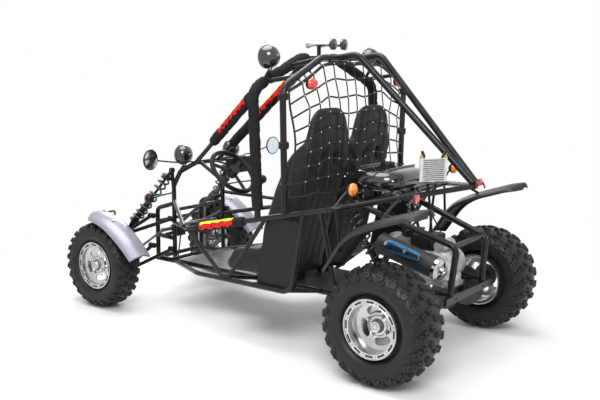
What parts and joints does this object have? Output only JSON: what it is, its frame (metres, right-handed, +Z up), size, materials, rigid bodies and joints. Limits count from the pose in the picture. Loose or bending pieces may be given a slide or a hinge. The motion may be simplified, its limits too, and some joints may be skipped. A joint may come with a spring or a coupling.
{
  "type": "dune buggy",
  "caption": "Two-seat tube-frame dune buggy with roll cage, knobby tyres, coil-over suspension arms, steered front wheels and a solid rear axle that turns.",
  "frame": {"origin": "on the ground, under the middle of the length between front and rear tyres, on the centre line", "axes": "+X forward, +Y to the left (driver side), +Z up"},
  "size_m": [2.4889, 1.341, 1.57],
  "materials": {
    "black_fender": "satin",
    "black_paint": "satin",
    "black_plastic": "satin",
    "cooler_metal": "brushed",
    "engine_metal": "cast",
    "floor_metal": "brushed",
    "mirror_glass": "polished",
    "muffler_black": "matte",
    "net_webbing": "matte",
    "orange_lens": "gloss",
    "polished_rim": "polished",
    "red_lens": "gloss",
    "seat_cover": "satin",
    "silver_fender": "metallic",
    "spring_steel": "gloss",
    "steel": "satin",
    "tank_black": "gloss",
    "tyre_rubber": "matte"
  },
  "bodies": {
    "chassis": {"dash": "black_plastic", "engine": "engine_metal", "floor_pan": "floor_metal", "front_hoop": "black_paint", "front_shocks": "spring_steel", "fuel_tank": "tank_black", "horns": "black_plastic", "lamps": "black_plastic", "lower_arms": "black_paint", "lower_frame": "black_paint", "mirrors": "mirror_glass", "muffler": "muffler_black", "net": "net_webbing", "nose_frame": "black_paint", "oil_cooler": "cooler_metal", "pedals": "black_paint", "pillars": "black_paint", "rear_cage": "black_paint", "rear_fenders": "black_fender", "rear_hoop": "black_paint", "rear_shocks": "spring_steel", "rear_stays": "black_paint", "roof_links": "black_paint", "seat_left": "seat_cover", "seat_right": "seat_cover", "side_panels": "black_plastic", "side_rails": "black_paint", "steering_column": "black_paint", "steering_rack": "steel", "swing_arm": "black_paint", "tail_lamps": "red_lens", "turn_signals": "orange_lens", "upper_arms": "black_paint"},
    "steering_wheel": {"steering_wheel": "black_plastic", "steering_shaft": "steel"},
    "lower_shaft": {"lower_shaft": "steel"},
    "rack": {"tie_rods": "steel"},
    "knuckle_left": {"knuckle_left": "steel", "front_fender_left": "silver_fender"},
    "knuckle_right": {"knuckle_right": "steel", "front_fender_right": "silver_fender"},
    "front_wheel_left": {"front_tyre_left": "tyre_rubber", "front_rim_left": "polished_rim"},
    "front_wheel_right": {"front_tyre_right": "tyre_rubber", "front_rim_right": "polished_rim"},
    "rear_axle": {"rear_axle": "steel", "rear_tyre_left": "tyre_rubber", "rear_tyre_right": "tyre_rubber", "rear_rim_left": "polished_rim", "rear_rim_right": "polished_rim"}
  },
  "joints": [
    {"name": "steer_left", "type": "hinge", "parent": "chassis", "child": "knuckle_left", "pos_m": [0.992, 0.375, 0.2525], "axis": [0, 0, 1], "range_deg": [-25, 25]},
    {"name": "steer_right", "type": "hinge", "parent": "chassis", "child": "knuckle_right", "pos_m": [0.992, -0.375, 0.2525], "axis": [0, 0, 1], "range_deg": [-25, 25]},
    {"name": "rack_slide", "type": "slide", "parent": "chassis", "child": "rack", "axis": [0, 1, 0], "range_m": [-0.0381, 0.0381]},
    {"name": "wheel_turn", "type": "hinge", "parent": "chassis", "child": "steering_wheel", "pos_m": [0.222, 0.215, 0.84], "axis": [0.7346, 0, -0.6785], "range_deg": [-136.5, 136.5]},
    {"name": "lower_shaft_turn", "type": "hinge", "parent": "chassis", "child": "lower_shaft", "pos_m": [0.379, 0.215, 0.695], "axis": [0.8268, -0.1775, -0.5338], "range_deg": [-136.5, 136.5]},
    {"name": "front_wheel_left_spin", "type": "hinge", "parent": "knuckle_left", "child": "front_wheel_left", "pos_m": [0.992, 0.515, 0.2525], "axis": [0, 1, 0], "continuous": true},
    {"name": "front_wheel_right_spin", "type": "hinge", "parent": "knuckle_right", "child": "front_wheel_right", "pos_m": [0.992, -0.515, 0.2525], "axis": [0, 1, 0], "continuous": true},
    {"name": "rear_axle_spin", "type": "hinge", "parent": "chassis", "child": "rear_axle", "pos_m": [-0.965, 0, 0.2795], "axis": [0, 1, 0], "continuous": true}
  ],
  "couplings": [
    {"joint": "steer_right", "follows": "steer_left", "ratio": 1},
    {"joint": "rack_slide", "follows": "steer_left", "m_per_rad": -0.0871},
    {"joint": "wheel_turn", "follows": "steer_left", "ratio": -5.44},
    {"joint": "lower_shaft_turn", "follows": "steer_left", "ratio": -5.44}
  ]
}
